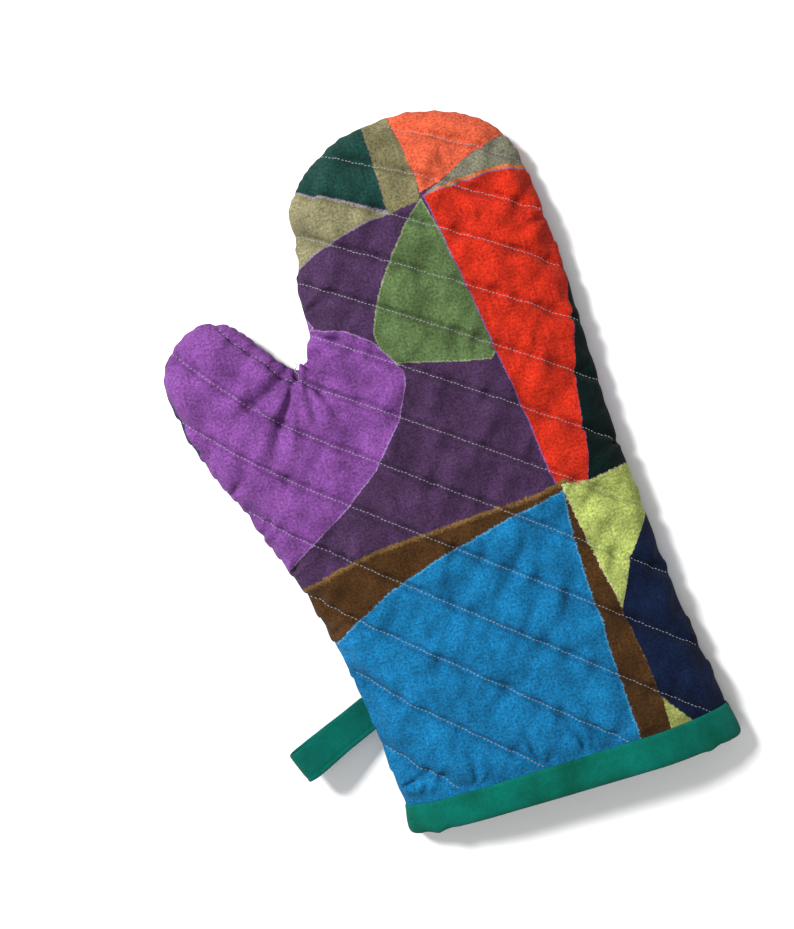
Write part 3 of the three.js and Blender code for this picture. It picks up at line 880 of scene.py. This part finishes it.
def mouth_ring(y, count):
    """Places round the mouth's wall, thumb side first along the top, and each one's outward way."""
    across = np.linspace(-1, 1, 120)
    x = np.sign(across) * (1 - (1 - abs(across)) ** 1.8) * 80.4
    places = np.column_stack([x, np.full_like(x, y)])
    depth = np.maximum(distance_inside(places, outline)[0], 0)
    top = np.column_stack([x, SEAM_HEIGHT + palm_crown(places, depth) - 1.2])
    low = np.column_stack([x, SEAM_HEIGHT - (SEAM_HEIGHT - 2.2) * dome(depth, 11, 2.0)])[::-1][1:-1]
    loop = np.vstack([top, low])
    lengths = np.linalg.norm(np.roll(loop, -1, 0) - loop, axis=1)
    travelled = np.concatenate([[0], np.cumsum(lengths)])
    wanted = np.arange(count) / count * travelled[-1]
    closed = np.vstack([loop, loop[:1]])
    ring = np.column_stack([np.interp(wanted, travelled, closed[:, k]) for k in (0, 1)])
    for _ in range(4):
        ring = (np.roll(ring, 1, 0) + 2 * ring + np.roll(ring, -1, 0)) / 4
    along = np.roll(ring, -1, 0) - np.roll(ring, 1, 0)
    out = np.column_stack([-along[:, 1], along[:, 0]])
    return ring, out / np.linalg.norm(out, axis=1)[:, None]


def binding_section():
    """The folded tape cut through: (out from the wall, along the mitt), outer leg first."""
    return [
        (0.1, 14.9), (0.9, 15.6), (1.5, 15.0), (1.75, 13.6), (1.6, 12.6), (1.85, 8.5),
        (1.9, 5.5), (1.8, 2.5),
        (1.3, 0.4), (0.2, -0.9), (-1.6, -1.4), (-3.6, -1.2), (-5.2, -0.3), (-6.0, 1.4), (-6.2, 4.0),
        (-6.2, 8.0), (-6.1, 11.6), (-5.6, 12.6), (-5.0, 11.6), (-5.0, 6.0), (-4.6, 1.6), (-3.2, 0.3),
        (-1.4, 0.2), (-0.2, 1.4), (0.1, 6.0),
    ]  # fmt: skip


def bias_tape(name, hex_colour, deep_hex):
    """Bias-cut cotton tape: its weave runs at 45 degrees, slightly shiny from pressing."""
    material, tree = new_material(name)
    place = add_node(tree, "ShaderNodeTexCoord").outputs["Object"]
    turned = add_node(tree, "ShaderNodeMapping", {
        "Vector": place, "Rotation": (0.0, 0.0, math.radians(45))})  # fmt: skip
    patch = add_node(tree, "ShaderNodeTexNoise", {"Vector": place, "Scale": 45, "Detail": 4.0})
    tint = add_node(tree, "ShaderNodeMapRange", {0: patch.outputs["Fac"], 1: 0.35, 2: 0.65}).outputs[0]
    colour = mixed(tree, tint, dyed(deep_hex), dyed(hex_colour))
    colour = heathered(tree, colour, turned.outputs[0], 0.16)
    cotton_surface(tree, colour, turned.outputs[0], 0.4, roughness=0.8, weave_depth=0.05)
    return material


binding_tape = bias_tape("bias_tape_binding", "#047f6f", "#036551")
ring, out = mouth_ring(6, BINDING_RING)
section = binding_section()
# Small pleats where the tape turns its corners: (place across, half-width, how far it juts out).
PLEATS = ((-74.0, 1.6, -0.5), (-68.5, 2.2, 1.1), (-62.0, 2.0, -0.35), (64.0, 2.4, 0.8), (69.5, 1.8, -0.4))
SLANT, LOWERED = 0.022, 1.2  # rise of the tape per millimetre across, and how far its edge is let down
LEAN_THUMB_SIDE, LEAN_FAR_SIDE = 0.09, -0.16  # follows the panels as they narrow above the cuff
points = []
for k, (place, way) in enumerate(zip(ring, out)):
    swell = 0.25 * noise.noise((k * 0.11, 0.0, 4.2)) + 0.2 * noise.noise((k * 0.4, 0.0, 1.7))
    shift = 0.5 * noise.noise((k * 0.035, 2.0, 7.7))
    for offset, y in section:
        proud = offset + (swell if offset > 0.5 else 0)
        wave = shift + (0.25 * noise.noise((k * 0.5, 5.0, 3.3)) if y > 14.5 else 0)
        x, z = place + way * proud
        if y < 3:
            wave -= sum(jut * math.exp(-(((x - across) / wide) ** 2)) for across, wide, jut in PLEATS)
        up = min(max(y / 15, 0.3), 1)
        wave += up * (SLANT * x - LOWERED)
        x += (LEAN_FAR_SIDE if x > 0 else LEAN_THUMB_SIDE) * (y - 6) * abs(x / 80) ** 6
        points.append(row_point(x, y + wave, max(z, 0.05)))
faces = []
for k in range(BINDING_RING):
    for j in range(len(section)):
        a, b = k * len(section) + j, k * len(section) + (j + 1) % len(section)
        c = ((k + 1) % BINDING_RING) * len(section)
        faces.append((a, b, c + (j + 1) % len(section), c + j))
mesh = bpy.data.meshes.new("cuff_binding_tape")
mesh.from_pydata(points, [], faces)
mesh.polygons.foreach_set("use_smooth", [True] * len(faces))
mesh.materials.append(binding_tape)
binding = bpy.data.objects.new("cuff_binding_tape", mesh)
bpy.context.scene.collection.objects.link(binding)
take(binding)
bpy.ops.object.mode_set(mode="EDIT")
bpy.ops.mesh.select_all(action="SELECT")
bpy.ops.mesh.normals_make_consistent(inside=False)
bpy.ops.object.mode_set(mode="OBJECT")
bpy.ops.object.modifier_add(type="SUBSURF")
binding.modifiers[-1].levels = binding.modifiers[-1].render_levels = 2
bpy.ops.object.modifier_apply(modifier=binding.modifiers[-1].name)
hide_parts("cuff_binding")
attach(binding, "hand")

# ---- Hanging loop ----
# The same green tape, folded lengthways and doubled into a loop; both ends go into the side
# seam at the thumb side. One long edge is the fold, the other two edges are stitched shut.
LOOP_WIDTH, LOOP_THICK, LOOP_LENGTH, LOOP_BELLY = 16.0, 1.1, 45.0, 5.4
LOOP_ROOT = (-82.0, 60.1)
LOOP_TURN, LOOP_RISE = math.radians(21.6), math.radians(8)
tape_colour = bias_tape("bias_tape_loop", "#047568", "#035e51")


def loop_path():
    """The doubled tape seen from its edge: out along the top leg, round, and back."""
    upper = []
    for t in np.linspace(0, 1, 14):
        u = LOOP_LENGTH - LOOP_BELLY
        rise = 0.7 + (LOOP_BELLY - 0.7) * (3 * t**2 - 2 * t**3)
        upper.append((u * t, rise))
    bend = [
        (LOOP_LENGTH - LOOP_BELLY + LOOP_BELLY * math.sin(a), LOOP_BELLY * math.cos(a))
        for a in np.linspace(0, math.pi, 13)[1:-1]
    ]
    lower = [(u, -w * 0.9) for u, w in reversed(upper)]
    return np.array(upper + bend + lower)


path = loop_path()
step = np.gradient(path, axis=0)
facing = np.column_stack([-step[:, 1], step[:, 0]])
facing /= np.linalg.norm(facing, axis=1)[:, None]
edge_shape = [
    (-0.5, 0.0), (-0.47, 0.35), (-0.40, 0.5), (-0.355, 0.12), (-0.31, 0.5), (0, 0.52), (0.38, 0.5),
    (0.47, 0.38), (0.5, 0.0), (0.47, -0.38), (0.38, -0.5), (0, -0.52), (-0.31, -0.5), (-0.355, -0.36),
    (-0.40, -0.5), (-0.47, -0.35),
]  # fmt: skip
level = math.cos(LOOP_RISE)
along_u = np.array([-math.cos(LOOP_TURN) * level, -math.sin(LOOP_TURN) * level, math.sin(LOOP_RISE)])
along_v = np.array([math.sin(LOOP_TURN), -math.cos(LOOP_TURN), 0.0])
along_w = np.cross(along_u, along_v)
along_w *= np.sign(along_w[2])
points, faces = [], []
for k, (place, way) in enumerate(zip(path, facing)):
    for across, thick in edge_shape:
        u, w = place + way * thick * LOOP_THICK
        v = -across * LOOP_WIDTH + 0.4 * noise.noise((k * 0.2, 1.0, 0.0))
        spot = np.array([LOOP_ROOT[0], LOOP_ROOT[1], SEAM_HEIGHT]) + u * along_u + v * along_v + w * along_w
        points.append(row_point(*spot))
for k in range(len(path) - 1):
    for j in range(len(edge_shape)):
        a, b = k * len(edge_shape) + j, k * len(edge_shape) + (j + 1) % len(edge_shape)
        faces.append((a, b, b + len(edge_shape), a + len(edge_shape)))
last = (len(path) - 1) * len(edge_shape)
faces += [tuple(range(len(edge_shape) - 1, -1, -1)), tuple(range(last, last + len(edge_shape)))]
mesh = bpy.data.meshes.new("hanging_loop_tape")
mesh.from_pydata(points, [], faces)
mesh.polygons.foreach_set("use_smooth", [True] * len(faces))
mesh.materials.append(tape_colour)
loop = bpy.data.objects.new("hanging_loop_tape", mesh)
bpy.context.scene.collection.objects.link(loop)
take(loop)
bpy.ops.object.mode_set(mode="EDIT")
bpy.ops.mesh.select_all(action="SELECT")
bpy.ops.mesh.normals_make_consistent(inside=False)
bpy.ops.object.mode_set(mode="OBJECT")
bpy.ops.object.modifier_add(type="SUBSURF")
loop.modifiers[-1].levels = loop.modifiers[-1].render_levels = 2
bpy.ops.object.modifier_apply(modifier=loop.modifiers[-1].name)
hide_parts("hanging_loop")
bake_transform(loop)

# ---- Table, light and camera ----
# A plain white table, one big soft lamp from the upper left and a weak one to fill, and the
# camera straight overhead, turned so that the mitt leans to the left.
bpy.ops.object.select_all(action="DESELECT")
bpy.ops.mesh.primitive_plane_add(size=6, location=(0, 0, -0.0004))
table = bpy.context.active_object
table.name = "table_top"
paper, tree = new_material("matt_white_board")
grain = add_node(tree, "ShaderNodeTexNoise", {"Scale": 400.0, "Detail": 3.0})
shade = add_node(tree, "ShaderNodeMapRange", {0: grain.outputs["Fac"], 3: 0.93, 4: 0.96})
white = mixed(tree, 1.0, (1.0, 1.0, 1.0, 1.0), shade.outputs[0], "MULTIPLY")
board = add_node(tree, "ShaderNodeBsdfPrincipled", {"Base Color": white, "Roughness": 0.8})
add_node(tree, "ShaderNodeOutputMaterial", {"Surface": board.outputs["BSDF"]})
table.data.materials.append(paper)


def lamp(name, place, size, power):
    light = bpy.data.lights.new(name, "AREA")
    light.shape = "SQUARE"
    light.size = size
    light.energy = power
    made = bpy.data.objects.new(name, light)
    made.location = place
    made.rotation_euler = (Vector((0, 0, 0)) - Vector(place)).to_track_quat("-Z", "Y").to_euler()
    bpy.context.scene.collection.objects.link(made)


lamp("key_lamp", (-0.52, 0.56, 0.84), 0.2, 17.5)
lamp("fill_lamp", (-0.6, -0.3, 1.7), 1.2, 6)
world = bpy.data.worlds.new("room")
world.use_nodes = True
world.node_tree.nodes["Background"].inputs["Color"].default_value = (1, 1, 1, 1)
world.node_tree.nodes["Background"].inputs["Strength"].default_value = 0.42
bpy.context.scene.world = world

LEAN = math.radians(16.4)
CAMERA_HEIGHT = 0.6
camera_data = bpy.data.cameras.new("camera")
camera_data.lens = 49.1
camera_data.sensor_width = 36
camera = bpy.data.objects.new("camera", camera_data)
camera.location = (CUFF_X - 39 * MM, CUFF_Y + 168.5 * MM, CAMERA_HEIGHT + 0.014)
camera.rotation_euler = (0, 0, -LEAN)
bpy.context.scene.collection.objects.link(camera)
bpy.context.scene.camera = camera
bpy.context.scene.view_settings.view_transform = "Standard"
